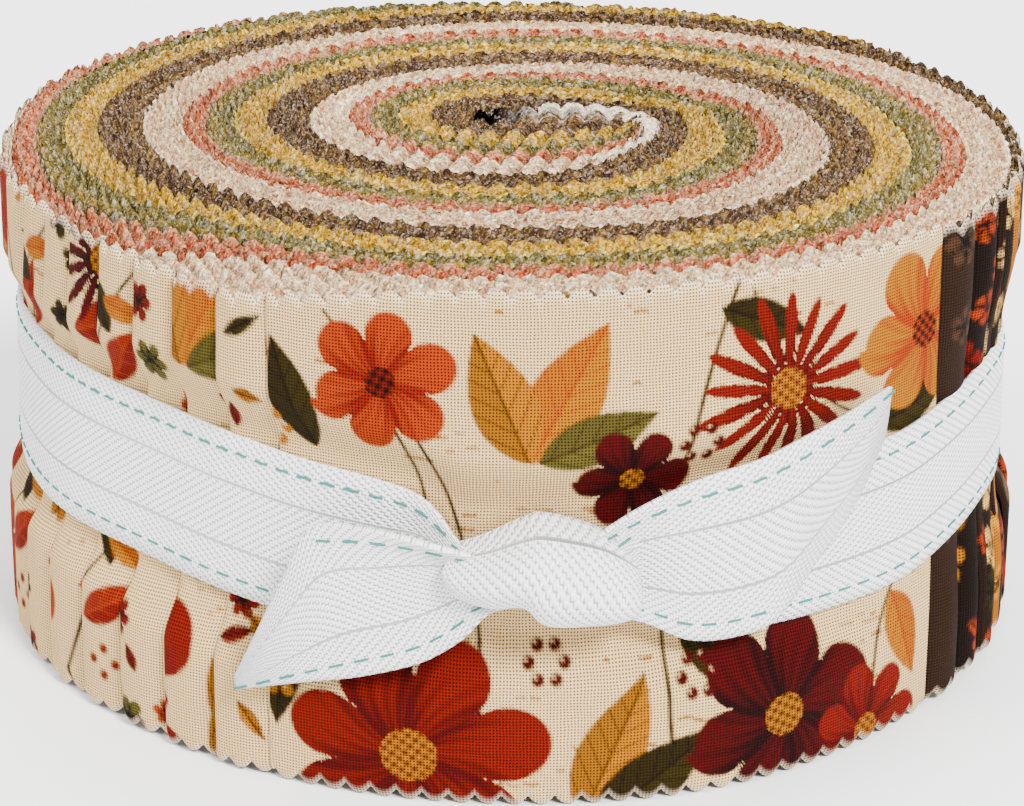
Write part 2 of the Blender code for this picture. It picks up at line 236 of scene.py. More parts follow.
def linear(colour):
    """A colour as seen on the lit cloth, in 0..255, as the deeper linear colour of the dye."""
    c = np.asarray(colour, dtype=float) / 255.0
    seen = np.where(c <= 0.04045, c / 12.92, ((c + 0.055) / 1.055) ** 2.4)
    level = seen @ np.array([0.3, 0.5, 0.2])
    dye = 0.47 * level ** 1.65 * (1.0 + 1.6 * level ** 3) * (seen / level) ** (1.3 + 0.9 * level)
    return np.clip(dye, 0.001, 0.9)


def cloth_mesh(name, points, uv, colours=None, keep=None):
    """A grid of points as one mesh, with its cloth coordinates in millimetres and its print."""
    rows, columns = points.shape[:2]
    index = np.arange(rows * columns).reshape(rows, columns)
    corners = [index[:-1, :-1], index[:-1, 1:], index[1:, 1:], index[1:, :-1]]
    quads = np.stack(corners, axis=-1).reshape(-1, 4)
    if keep is not None:
        quads = quads[keep.reshape(-1)]
    used, quads = np.unique(quads, return_inverse=True)
    quads = quads.reshape(-1, 4)
    mesh = bpy.data.meshes.new(name)
    mesh.vertices.add(len(used))
    mesh.vertices.foreach_set("co", points.reshape(-1, 3)[used].astype(np.float32).ravel())
    mesh.loops.add(quads.size)
    mesh.loops.foreach_set("vertex_index", quads.astype(np.int32).ravel())
    mesh.polygons.add(len(quads))
    mesh.polygons.foreach_set("loop_start", np.arange(0, quads.size, 4, dtype=np.int32))
    mesh.polygons.foreach_set("use_smooth", np.ones(len(quads), dtype=bool))
    mesh.update()
    layer = mesh.uv_layers.new(name="cloth")
    layer.data.foreach_set("uv", uv.reshape(-1, 2)[used][quads.ravel()].astype(np.float32).ravel())
    if colours is not None:
        shades = np.ones((len(used), 4), dtype=np.float32)
        shades[:, :3] = colours.reshape(-1, 3)[used]
        attribute = mesh.color_attributes.new("print", "FLOAT_COLOR", "POINT")
        attribute.data.foreach_set("color", shades.ravel())
    mesh.validate()
    piece = bpy.data.objects.new(name, mesh)
    into_scene(piece)
    return piece


def apply_modifiers(piece):
    graph = bpy.context.evaluated_depsgraph_get()
    evaluated = piece.evaluated_get(graph)
    mesh = bpy.data.meshes.new_from_object(evaluated, preserve_all_data_layers=True, depsgraph=graph)
    piece.modifiers.clear()
    piece.data = mesh


class Value:
    """One socket of a node tree, so that its maths can be written as expressions."""

    def __init__(self, tree, socket):
        self.tree, self.socket = tree, socket

    def node(self, kind, settings, *inputs, output=0, **named):
        made = self.tree.nodes.new(kind)
        for setting, value in settings.items():
            if setting == "stops":
                while len(made.color_ramp.elements) < len(value):
                    made.color_ramp.elements.new(0.5)
                for element, (position, colour) in zip(made.color_ramp.elements, value):
                    element.position, element.color = position, (*colour, 1.0)
            else:
                setattr(made, setting, value)
        for key, value in [*enumerate(inputs), *named.items()]:
            if isinstance(key, str):
                key = int(key) if key.isdigit() else key.replace("_", " ")
            if isinstance(value, Value):
                self.tree.links.new(value.socket, made.inputs[key])
            elif value is not None:
                made.inputs[key].default_value = value
        return Value(self.tree, made.outputs[output])

    def maths(self, operation, *inputs):
        return self.node("ShaderNodeMath", {"operation": operation}, *inputs)

    def __add__(self, other):
        return self.maths("ADD", self, other)

    def __sub__(self, other):
        return self.maths("SUBTRACT", self, other)

    def __rsub__(self, other):
        return self.maths("SUBTRACT", other, self)

    def __mul__(self, other):
        return self.maths("MULTIPLY", self, other)

    def __truediv__(self, other):
        return self.maths("DIVIDE", self, other)

    def noise(self, scale, detail, **more):
        return self.node("ShaderNodeTexNoise", {}, self, Scale=scale, Detail=detail, **more)

    def sin(self):
        return self.maths("SINE", self)

    def size(self):
        return self.maths("ABSOLUTE", self)

    def step(self, low, high):
        settings = {"interpolation_type": "SMOOTHSTEP"}
        return self.node("ShaderNodeMapRange", settings, self, low, high, 0.0, 1.0)

    def tinted(self, factor, colour, blend="MIX"):
        """This colour mixed with another one, a Value or a plain colour."""
        other = colour if isinstance(colour, Value) else (*colour, 1.0)
        settings = {"data_type": "RGBA", "blend_type": blend}
        return self.node("ShaderNodeMix", settings, output=2, **{"0": factor, "6": self, "7": other})


def new_cloth_material(name, roughness, sheen):
    """A matte cloth: its shader, and its cloth coordinates in millimetres, whole and apart."""
    material = bpy.data.materials.new(name)
    material.use_nodes = True
    tree = material.node_tree
    shader = tree.nodes["Principled BSDF"]
    shader.inputs["Roughness"].default_value = roughness
    shader.inputs["Specular IOR Level"].default_value = 0.06
    shader.inputs["Sheen Weight"].default_value = sheen
    uv_node = tree.nodes.new("ShaderNodeUVMap")
    uv_node.uv_map = "cloth"
    uv = Value(tree, uv_node.outputs[0])
    along = uv.node("ShaderNodeSeparateXYZ", {}, uv)
    return material, shader, uv, along, Value(tree, along.socket.node.outputs[1])


def dress(shader, colour, height, strength, distance):
    """Gives a cloth its colour and the bump of its threads."""
    links = height.tree.links
    bump = height.node("ShaderNodeBump", {}, Strength=strength, Distance=distance, Height=height)
    links.new(colour.socket, shader.inputs["Base Color"])
    links.new(bump.socket, shader.inputs["Normal"])


def plain_weave_material():
    """Printed cotton: the print is the cloth's colour, with painted shade in the pinholes between the threads
    and painted shading across each thread.
    """
    material, shader, uv, along, up = new_cloth_material("printed_cotton", 0.88, 0.0)
    wobble = uv.noise(0.35, 2.0)
    warp_phase = (along / THREAD + wobble * 1.1) * math.pi
    weft_phase = (up / THREAD + wobble * 0.8) * math.pi
    warp, weft = warp_phase.sin(), weft_phase.sin()
    over = warp * weft
    open_weave = (1.0 - warp.size()) * (1.0 - weft.size())
    print_colour = uv.node("ShaderNodeVertexColor", {"layer_name": "print"})
    # painted shade: the print is darkened to a deep brown in the pinholes between the threads
    pinhole = open_weave.step(0.03, 0.38)
    deep = print_colour.tinted(1.0, (0.2, 0.12, 0.07), blend="MULTIPLY")
    pinhole_shaded = print_colour.tinted(pinhole, deep)
    fibre = uv.noise(3.1, 3.0)
    # painted shading: the threads' crowns are painted lighter and their sides darker
    threads = warp.maths("MAXIMUM", warp.size(), weft.size())
    lightness = fibre * 0.3 + threads * 0.26 + 0.64
    light = pinhole_shaded.node("ShaderNodeHueSaturation", {}, Value=lightness, Color=pinhole_shaded)
    height = warp.size() * 0.5 + weft.size() * 0.5 + over.size() * 0.5 + fibre * 0.35
    dress(shader, light, height, 0.55, 0.00012)
    return material


# how fast a printed edge falls off, per millimetre
SHARP = 2.4


class Print:
    """Generic autumn flowers, leaves and berries, drawn over points of cloth in millimetres."""

    def __init__(self, x, z, ground, seed):
        self.x, self.z = x, z
        self.random = np.random.default_rng(seed)
        self.colours = np.ones(x.shape + (3,)) * linear(ground)
        self.colours *= 1.0 + self.random.uniform(-0.05, 0.05, x.shape)[..., None]

    def lay(self, mask, colour, where=True):
        mask = np.where(where, unit(mask), 0.0)[..., None]
        self.colours[self.seen] = self.colours[self.seen] * (1.0 - mask) + linear(colour) * mask

    def local(self, x, z, reach, turn=0.0):
        """Distances along and across a motif, over the part of the cloth within its reach."""
        columns = np.flatnonzero(np.abs(self.x[0] - x) < reach)
        rows = np.flatnonzero(np.abs(self.z[:, 0] - z) < reach + 1.5)
        if len(columns) and len(rows):
            self.seen = (slice(rows[0], rows[-1] + 1), slice(columns[0], columns[-1] + 1))
        else:
            self.seen = (slice(0, 0), slice(0, 0))
        c, s = math.cos(math.radians(turn)), math.sin(math.radians(turn))
        dx, dz = self.x[self.seen] - x, self.z[self.seen] - z
        return dx * c + dz * s, dz * c - dx * s

    def flower(self, x, z, size, petals, turn, colour, shade, heart, narrow=False):
        across, up = self.local(x, z, size + 1.0, turn)
        radius, angle = np.hypot(across, up), np.arctan2(up, across)
        lobe = np.abs(np.cos(petals * angle / 2.0))
        petal = np.floor(petals * angle / (2.0 * math.pi) + 0.5)
        length = 1.0 - 0.12 * np.mod(petal * 0.618, 1.0)
        base = 0.2 if narrow else 0.55
        edge = size * length * (base + (1.0 - base) * lobe ** (0.9 if narrow else 0.5))
        self.lay((edge - radius) * SHARP, colour)
        deep = 1.25 - radius / (size * 0.8) + 0.3 * np.cos(angle * petals * 4.0 + radius)
        deep = deep + (0.5 - 0.9 * lobe) + 0.5 * np.mod(petal * 0.377, 1.0)
        self.lay(deep - 0.35, shade, radius < edge - 0.25)
        self.lay((size * 0.19 - radius) * SHARP, shade)
        seeds = 0.6 + 0.6 * np.sin(across * 4.0) * np.sin(up * 4.3)
        self.lay(seeds, heart, radius < size * 0.2)

    def leaf(self, x, z, length, width, turn, colour, vein):
        along, across = self.local(x, z, length, turn)
        t = along / length
        half = width * unit(np.sin(math.pi * unit(t) ** 0.8)) ** 0.9 * 0.5
        inside = np.where((t > 0.0) & (t < 1.0), (half - np.abs(across)) * SHARP, 0.0)
        self.lay(inside, colour)
        self.lay(0.35, vein, (inside > 0.4) & (across > 0.0))
        side = np.abs(np.mod(along - np.abs(across) * 1.1, 2.6) - 1.3)
        veins = np.maximum(0.3 - np.abs(across), 0.25 - side) * 3.0
        self.lay(veins, vein, inside > 0.4)

    def stem(self, x, z, length, bend, turn, width, colour):
        along, across = self.local(x, z, length, turn)
        t = along / length
        line = (width * 0.5 - np.abs(across - bend * 4.0 * t * (1.0 - t))) * 3.0
        self.lay(line, colour, (t > 0.0) & (t < 1.0))

    def berries(self, x, z, count, reach, size, colour, light):
        for angle in np.linspace(0.0, 2.0 * math.pi, count, endpoint=False):
            dx, dz = self.local(x + reach * math.cos(angle), z + reach * math.sin(angle), size + 0.5)
            self.lay((size - np.hypot(dx, dz)) * SHARP, colour)
            self.lay((size * 0.35 - np.hypot(dx + size * 0.3, dz - size * 0.3)) * SHARP, light)

    def flecks(self, count, colour):
        for _number in range(count):
            x = self.random.uniform(self.x.min(), self.x.max())
            z = self.random.uniform(self.z.min(), self.z.max())
            for _dash in range(self.random.integers(1, 4)):
                x, z = x + self.random.uniform(0.9, 2.6), z + self.random.uniform(-0.8, 0.8)
                dx, dz = self.local(x, z, 1.5)
                near = (np.abs(dx) < self.random.uniform(0.2, 1.0)) & (np.abs(dz) < 0.22)
                self.lay(self.random.uniform(0.4, 0.9), colour, near)


CREAM, RUST, RED, ORANGE = (237, 217, 181), (186, 62, 18), (146, 22, 16), (216, 108, 20)
GOLD, OLIVE, BROWN, SAGE = (218, 162, 24), (110, 96, 30), (70, 44, 34), (152, 144, 84)
WINE, FLECK = (96, 14, 14), (206, 158, 60)


def autumn_print(x, z, seed):
    """The cream print of the outer strips: a loose scatter of blooms, leaves and berries."""
    cloth = Print(x, z, CREAM, seed)
    cloth.flecks(int(1.1 * np.ptp(x)), FLECK)
    # (across, up, length, bend, turn, width, colour)
    for sprig in [
        (20, -4, 70, 5, 84, 0.9, OLIVE),
        (-6, -3, 52, -5, 97, 0.8, BROWN),
        (46, -2, 40, 4, 68, 0.8, OLIVE),
        (-22, 60, 34, 3, -68, 0.8, OLIVE),
        (-46, -2, 62, -4, 82, 0.9, BROWN),
        (-64, 62, 40, 4, -70, 0.8, OLIVE),
        (28, 62, 26, -3, -48, 0.7, BROWN),
    ]:
        cloth.stem(*sprig)
    # (across, up, length, width, turn, colour, vein)
    for leaf in [
        (2, 43, 19, 9.0, 62, GOLD, ORANGE),
        (2, 43, 17, 8.0, 112, GOLD, OLIVE),
        (3, 43, 15, 6.5, 22, SAGE, OLIVE),
        (20, 20, 17, 7.0, -32, OLIVE, BROWN),
        (8, -2, 20, 8.5, 68, GOLD, OLIVE),
        (9, -3, 19, 8.0, 38, OLIVE, BROWN),
        (-27, 22, 15, 6.2, -96, OLIVE, BROWN),
        (47, 40, 14, 6.0, 12, OLIVE, BROWN),
        (50, 18, 13, 5.5, -68, GOLD, ORANGE),
        (-24, 42, 15, 6.5, 110, OLIVE, BROWN),
        (24, 60, 13, 5.5, -22, OLIVE, BROWN),
        (-47, 44, 15, 6.5, 20, RUST, ORANGE),
        (-50, 24, 14, 6.0, 160, OLIVE, BROWN),
        (-43, 12, 14, 6.0, 10, GOLD, ORANGE),
        (-66, 46, 14, 6.0, 200, OLIVE, BROWN),
        (-70, 16, 14, 6.0, 60, RUST, RED),
    ]:
        cloth.leaf(*leaf)
    # (across, up, size, petals, turn, colour, shade, heart, narrow petals)
    for bloom in [
        (33, 49, 12.5, 17, 4, RUST, RED, GOLD, True),
        (-15, 52, 9.5, 6, 20, ORANGE, RUST, BROWN),
        (-12, 6, 17.0, 7, 10, RUST, (150, 40, 14), GOLD),
        (33, 8, 13.5, 6, 12, RED, WINE, GOLD),
        (46, 2, 9.5, 7, 0, RUST, RED, GOLD),
        (55, 51, 12.0, 6, 0, GOLD, ORANGE, BROWN),
        (14, 40, 7.5, 6, 0, RED, WINE, GOLD),
        (-42, 54, 10.5, 16, 0, RED, WINE, GOLD, True),
        (-58, 34, 10.5, 6, 25, RUST, RED, GOLD),
        (-60, 8, 12.5, 6, 0, ORANGE, RUST, GOLD),
        (-36, 30, 9.0, 6, 15, GOLD, ORANGE, BROWN),
        (-72, 58, 10.0, 7, 15, RUST, RED, GOLD),
    ]:
        cloth.flower(*bloom)
    for x0, z0 in [(22, 44), (46, 28), (-30, 44), (22, 15), (-28, 14), (-52, 60), (4, 18)]:
        cloth.berries(x0, z0, 6, 2.1, 1.0, RED if x0 > -10 else GOLD, CREAM)
    return cloth


def small_print(x, z, ground, dark, lights, seed, crowd=0.8):
    """A print of small flowers and leaves, as on the strips of one colour."""
    cloth = Print(x, z, ground, seed)
    step = 6.5
    for column in range(int(x.min() // step), int(x.max() // step) + 1):
        for row in range(10):
            x0 = (column + 0.5 * (row % 2) + cloth.random.uniform(0.1, 0.5)) * step
            z0 = (row + cloth.random.uniform(0.2, 0.6)) * step
            turn = cloth.random.uniform(0, 360)
            light = lights[cloth.random.integers(0, len(lights))]
            kind = cloth.random.uniform()
            if kind > crowd:
                continue
            if kind < 0.45:
                cloth.flower(x0, z0, cloth.random.uniform(2.2, 3.6), 6, turn, light, dark, dark)
            else:
                cloth.leaf(x0, z0, cloth.random.uniform(4, 7), 2.4, turn, light, dark)
    return cloth


def vine_print(x, z, seed):
    """A cream print of thin brown vines with a few russet leaves and berries."""
    cloth = Print(x, z, CREAM, seed)
    cloth.flecks(int(0.8 * np.ptp(x)) + 2, FLECK)
    left, middle = x.min(), 0.5 * (x.min() + x.max())
    for up in (4.0, 34.0):
        cloth.stem(left - 3.0, up, 30.0, 3.0, 62.0, 0.8, BROWN)
        turn = cloth.random.uniform(20.0, 70.0)
        cloth.leaf(left + 1.0, up + 8.0, 11.0, 5.0, turn, RUST, ORANGE)
        cloth.leaf(middle, up + 15.0, 9.0, 4.2, turn + 80.0, OLIVE, BROWN)
        cloth.leaf(left + 2.0, up + 19.0, 8.0, 3.6, turn - 60.0, GOLD, ORANGE)
        cloth.berries(middle + 1.0, up + 3.0, 4, 1.8, 0.9, RUST, GOLD)
    return cloth


def frayed(colours, from_edge):
    """Cut thread ends show the undyed cotton along a pinked edge."""
    pale = unit(1.0 - from_edge / 1.1)[..., None] * 0.7
    return colours * (1.0 - pale) + linear((240, 230, 214)) * pale


def shoulder(angle):
    """How far the stack's top edge slumps at the left of the front."""
    turned = np.mod(angle + 180.0, 360.0) - 180.0
    return 3.4 * eased((turned - 4.0) / 28.0) * eased((112.0 - turned) / 34.0)


def wall_cloth(name, start, end, pitch, lift, painter, shift=0.0, under=0.0, lean=None):
    """Outer cloth of the wall between two clockwise angles, standing lift() off the stack."""
    length = math.radians(end - start) * WALL_RADIUS
    columns = max(int(length / pitch) + 1, 8)
    angle = np.linspace(start, end, columns)
    along = -np.radians(angle) * WALL_RADIUS + shift
    rows = int(STRIP_WIDTH / pitch) + 1
    share = np.linspace(0.0, 1.0, rows)[:, None]
    top = STRIP_WIDTH - tooth(along) - under - shoulder(angle)
    low = tooth(along + TOOTH_PITCH * 0.4) + under
    height = low + (top - low) * share
    angles = angle + 0.0 * height
    rise = lift(angles, height)
    if lean is not None:
        angles = angles + lean(angles, height)
    radius = wall_radius(angles, height) + rise
    from_edge = np.minimum(top - height, height - low)
    radius = radius - EDGE_ROLL * unit(1.0 - from_edge / 1.2) ** 2
    uv = np.stack([along + 0.0 * height, height], axis=-1)
    colours = frayed(painter(along + 0.0 * height, height).colours, from_edge)
    return cloth_mesh(name, place(angles, radius, height), uv, colours)


def joined_as(name, pieces):
    joined = bmesh.new()
    for piece in pieces:
        joined.from_mesh(piece.data)
    joined.to_mesh(pieces[0].data)
    joined.free()
    for piece in pieces[1:]:
        bpy.data.objects.remove(piece)
    pieces[0].name = name
    return pieces[0]


def belongs_to_roll(piece, material):
    piece.data.materials.append(material)
    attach(piece, "root")
    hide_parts("strip_roll")


def rides_as_strip(piece):
    belongs_to_roll(piece, printed_cotton)


def slanted(angle, height):
    """The tape pushes the folded ends, and the front strip's end beside them, a little backwards."""
    return -by_the_folds(angle) * (0.4 + 2.0 * under_tape(angle, height))


FRONT_LIFT = 0.25


def raised(angle, _height):
    """The front strip lies over all the others."""
    return FRONT_LIFT + 0.0 * angle


printed_cotton = plain_weave_material()
front_print = partial(autumn_print, seed=3)
front_strip = wall_cloth("front_strip", FRONT_START, FIRST_END, 0.25, raised, front_print, lean=slanted)
rides_as_strip(front_strip)


def stepped(angle, height):
    """Each strip end stands proud of the next strip and rolls over at its folded edge."""
    along = np.mod(angle - FIRST_END - 0.001, END_SPACING) / END_SPACING
    puff = 0.55 * np.sin(math.pi * along) * (1.0 - 0.7 * under_tape(angle, height))
    edge = unit((along - 0.86) / 0.14)
    return -0.2 + 0.95 * along + puff - 0.9 * (1.0 - np.sqrt(1.0 - edge ** 2))


# (name, strips, pitch of the mesh, ground, dark, lights)
STRIP_GROUPS = [
    ("cream_ends", 8, 0.3, None, None, None),
    ("rust_ends", 7, 0.42, (200, 84, 34), RED, [(236, 180, 120), GOLD, (240, 214, 176)]),
    ("olive_ends", 7, 0.45, (138, 126, 66), (72, 66, 30), [(204, 196, 146), (230, 222, 190), GOLD]),
    ("gold_ends", 8, 0.45, (222, 170, 40), (150, 92, 24), [(246, 224, 160), ORANGE, OLIVE]),
    ("brown_ends", 8, 0.45, (92, 66, 50), BROWN, [(196, 160, 116), ORANGE, (226, 200, 160)]),
]
# how far the front's print is slid along on some cream strips, and the small print's colours
# on others
CREAM_SLIDES = {1: 15.0, 4: -14.0, 7: -2.0}
CREAM_LIGHTS = {0: (OLIVE, GOLD, RUST, RED), 2: (RUST, SAGE, ORANGE), 5: (GOLD, OLIVE, RUST)}
# half the gap between two strips, as an angle
STRIP_GAP = 0.06


def slid_print(x, z, slide, seed):
    return autumn_print(x + 29.0 + slide, np.abs(z - (8.0 * seed) % 9.0), seed)


def cream_painter(strip, seed):
    """The cream strips show three prints by turns."""
    if strip in CREAM_SLIDES:
        return partial(slid_print, slide=CREAM_SLIDES[strip], seed=seed)
    if strip in CREAM_LIGHTS:
        small = partial(small_print, ground=CREAM, dark=BROWN, lights=CREAM_LIGHTS[strip])
        return partial(small, seed=seed, crowd=0.8 - 0.2 * strip / 2)
    return partial(vine_print, seed=seed)


group_start = FIRST_END
for number, (name, strips, pitch, ground, dark, lights) in enumerate(STRIP_GROUPS):
    pieces = []
    for strip in range(strips):
        start = group_start + strip * END_SPACING
        end = start + END_SPACING
        seed = 20 + number * 12 + strip
        if ground is not None:
            painter = partial(small_print, ground=ground, dark=dark, lights=lights, seed=seed)
        else:
            painter = cream_painter(strip, seed)
        ends = (start + STRIP_GAP, end - STRIP_GAP)
        shift = 1.3 * strip
        pieces.append(wall_cloth(f"{name}_{strip}", *ends, pitch, stepped, painter, shift, under=0.25))
    rides_as_strip(joined_as(name, pieces))
    group_start += strips * END_SPACING


# On the right the innermost strips of the stack end as soft rounded folds, doubled cloth that
# stands out from the wall with deep gaps between one fold and the next.

STRAW = (238, 210, 150)
# (name, start, end, rise, ground, dark, lights, how crowded its print is)
FOLDS = [
    ("fold_brown", 301.6, 309.9, 1.1, (104, 78, 60), (56, 40, 32), [(140, 108, 84)], 0.25),
    ("fold_bloom", 295.7, 302.0, 0.9, (76, 56, 44), (44, 32, 26), [ORANGE, GOLD, RUST, ORANGE], 1.0),
    ("fold_umber", 290.4, 296.1, 1.2, (84, 66, 46), (46, 34, 28), [STRAW, ORANGE, STRAW, OLIVE], 1.0),
    ("fold_gold", 285.9, 290.8, 0.9, (216, 156, 26), (130, 84, 20), [(238, 190, 60), OLIVE], 0.5),
]


def puffed(angle, height, start, end, rise):
    """A fold is round, and sinks in beside its neighbours. The tape flattens it a little."""
    round_over = np.sqrt(np.sin(math.pi * unit((angle - start) / (end - start))))
    return -1.3 + (rise * (1.0 - 0.3 * under_tape(angle, height)) + 1.4) * round_over


folds = []
for number, (name, start, end, rise, ground, dark, lights, crowd) in enumerate(FOLDS):
    puff = partial(puffed, start=start, end=end, rise=rise)
    painter = partial(small_print, ground=ground, dark=dark, lights=lights, seed=90 + number, crowd=crowd)
    folds.append(wall_cloth(name, start, end, 0.4, puff, painter, under=0.5, lean=slanted))
rides_as_strip(joined_as("folded_ends", folds))


# The ends of the roll are the pinked edges of forty strips, wound together about three turns from
# a small open eye. Lying edge to edge their teeth make fuzzy ridges, in bands of the print colours.

EYE = (-2.0, 6.5)
CORE_INNER = 3.5
CORE_END = 19.0
STACK_THICKNESS = 22.4
# Outer face of the stack from the eye. (clockwise angle, radius)
STACK_FACE = [
    (0, 26.3), (30, 25.3), (60, 24.8), (90, 24.7), (120, 24.5), (150, 24.5), (180, 25.6),
    (210, 29.8), (240, 35.5), (270, 41.3), (300, 46.8), (330, 49.3), (360, 47.5), (390, 46.6),
    (420, 46.5), (450, 46.6), (480, 47.0), (510, 48.0), (540, 49.6), (570, 53.2), (600, 59.0),
    (630, 64.8), (660, 70.0), (690, 72.8), (720, 71.5),
]
STACK_CURVE = dense(STACK_FACE, 1, 0, 720)
# angles at which the winding starts, has passed the rim all round, and stops
WOUND_FROM, RIM_MET, WOUND_TO = -88.0, 790.0, 1075.0
# power of the rounded oblong that the layers at the core follow
OBLONG = 2.6


def flat_distance(angle, depth):
    """From the eye to a layer of the straight stretch at the core, or to the stack's end there."""
    turned = np.radians(angle)
    ahead = (np.abs(np.cos(turned)) / depth) ** OBLONG
    return (ahead + (np.abs(np.sin(turned)) / CORE_END) ** OBLONG) ** (-1.0 / OBLONG)


# The rim of the roll's end follows the outermost cloth, seen as rays from the eye.
RIM_HEIGHT = 62.0
rim_angle = np.arange(0.0, 360.0, 0.25)
front_reach = (rim_angle < FIRST_END) | (rim_angle > 310.0)
rim_lift = np.where(front_reach, FRONT_LIFT, stepped(rim_angle, RIM_HEIGHT))
for _name, start, end, rise, *_looks in FOLDS:
    over_fold = puffed(rim_angle, RIM_HEIGHT, start, end, rise)
    rim_lift = np.where((rim_angle > start) & (rim_angle < end), over_fold, rim_lift)
rim_radius = wall_radius(rim_angle, RIM_HEIGHT) + rim_lift - EDGE_ROLL
rim_points = place(rim_angle, rim_radius, 0.0 * rim_angle) / MM
rim_x, rim_y = rim_points[:, 0] - EYE[0], rim_points[:, 1] - EYE[1]
rim_ray = np.mod(np.degrees(np.arctan2(-rim_x, -rim_y)), 360.0)
rim_order = np.argsort(rim_ray)
rim_ray, rim_far = rim_ray[rim_order], np.hypot(rim_x, rim_y)[rim_order]


def rim_distance(angle):
    """From the eye to the rim."""
    return np.interp(np.mod(angle, 360.0), rim_ray, rim_far, period=360.0)


def stack_face(angle):
    """Outer face of the stack, which runs on under the rim after its last reading."""
    outer = np.interp(angle, *STACK_CURVE)
    later = np.interp(angle - 360.0, *STACK_CURVE) + STACK_THICKNESS
    later = np.where(angle < RIM_MET, np.maximum(later, rim_distance(angle) + 0.6), later)
    outer = np.where(angle > STACK_FACE[-1][0], later, outer)
    return np.where(angle < 0.0, flat_distance(angle, STACK_FACE[0][1]), outer)


def layer_radius(angle, share):
    """Radius from the eye of a layer that lies at a share of the stack from its inner face."""
    round_eye = (angle >= 0.0) & (angle <= 180.0)
    flat_inner = np.where(round_eye, CORE_INNER, flat_distance(angle, CORE_INNER))
    inner = np.where(angle >= 270.0, stack_face(angle - 360.0), flat_inner)
    wound = inner + (stack_face(angle) - inner) * share
    straight = CORE_INNER + (STACK_FACE[0][1] - CORE_INNER) * share
    return np.where(angle < 0.0, flat_distance(angle, straight), wound)


# (name, first strip, strips, colours from most to least common)
COLOUR_BANDS = [
    ("brown", 0, 10, [(146, 116, 92), (106, 82, 68), (184, 154, 124)]
        + [(214, 180, 100), (74, 58, 54), (222, 206, 190)]),
    ("gold", 10, 8, [(238, 200, 66), (214, 172, 44), (248, 226, 122)]
        + [(150, 124, 66), (242, 232, 200), (176, 164, 106)]),
    ("olive", 18, 7, [(172, 162, 100), (138, 128, 78), (210, 202, 152)]
        + [(218, 182, 84), (234, 226, 208), (98, 90, 64)]),
    ("rust", 25, 5, [(228, 136, 90), (210, 98, 56), (242, 186, 150)]
        + [(168, 80, 50), (244, 216, 188), (166, 146, 98)]),
    ("cream", 30, 10, [(244, 220, 190), (252, 238, 218), (232, 202, 166)]
        + [(236, 174, 138), (212, 184, 146), (220, 134, 98)]),
]
COLOUR_SHARES = np.array([0.34, 0.22, 0.16, 0.12, 0.09, 0.07])
STRIPS = 40
# distance along the edges at the core, and how far the teeth drift across the stack
RUN_START, TEETH_DRIFT = 300.0, 6.4
# depth of the points that lie past the rim
PAST_DEPTH = 1.3


